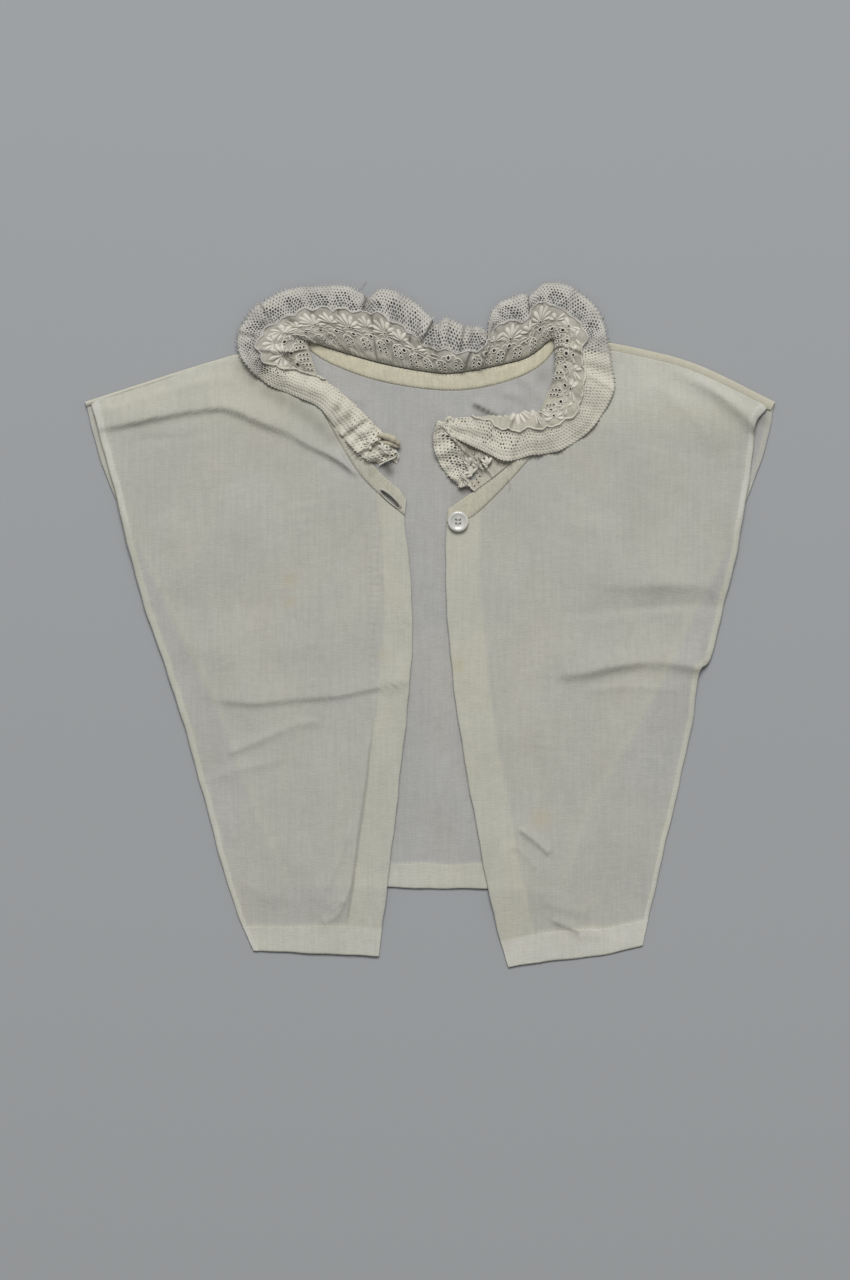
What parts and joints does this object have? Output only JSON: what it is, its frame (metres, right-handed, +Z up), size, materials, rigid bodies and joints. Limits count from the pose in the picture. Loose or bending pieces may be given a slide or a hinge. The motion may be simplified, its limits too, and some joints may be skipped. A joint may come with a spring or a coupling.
{
  "type": "jabot",
  "caption": "Historic white cotton jabot laid flat: sleeveless fronts and back joined at the shoulders, a narrow neckband with a button, and a gathered frill of embroidery and net lace.",
  "frame": {"origin": "centre of the bounding box, on the surface that the garment lies on", "axes": "+Z up from the surface, +Y from the hems towards the back neck, +X to the right of someone who looks down at it, which is the wearer's left"},
  "size_m": [0.379, 0.3762, 0.0118],
  "materials": {
    "batiste": "fine plain weave, matt, aged white",
    "tape": "close woven cotton tape, cream",
    "embroidery": "white eyelet and satin stitch embroidery, slightly yellowed",
    "net": "cotton net lace with a small picot edge",
    "pearl": "mother of pearl, softly glossy"
  },
  "bodies": {
    "root": {"back": "batiste", "front_right": "batiste", "front_left": "batiste", "neckband_back": "tape", "neckband_right": "tape", "neckband_left": "tape", "frill_embroidery": "embroidery", "frill_net": "net", "button": "pearl"}
  },
  "joints": []
}
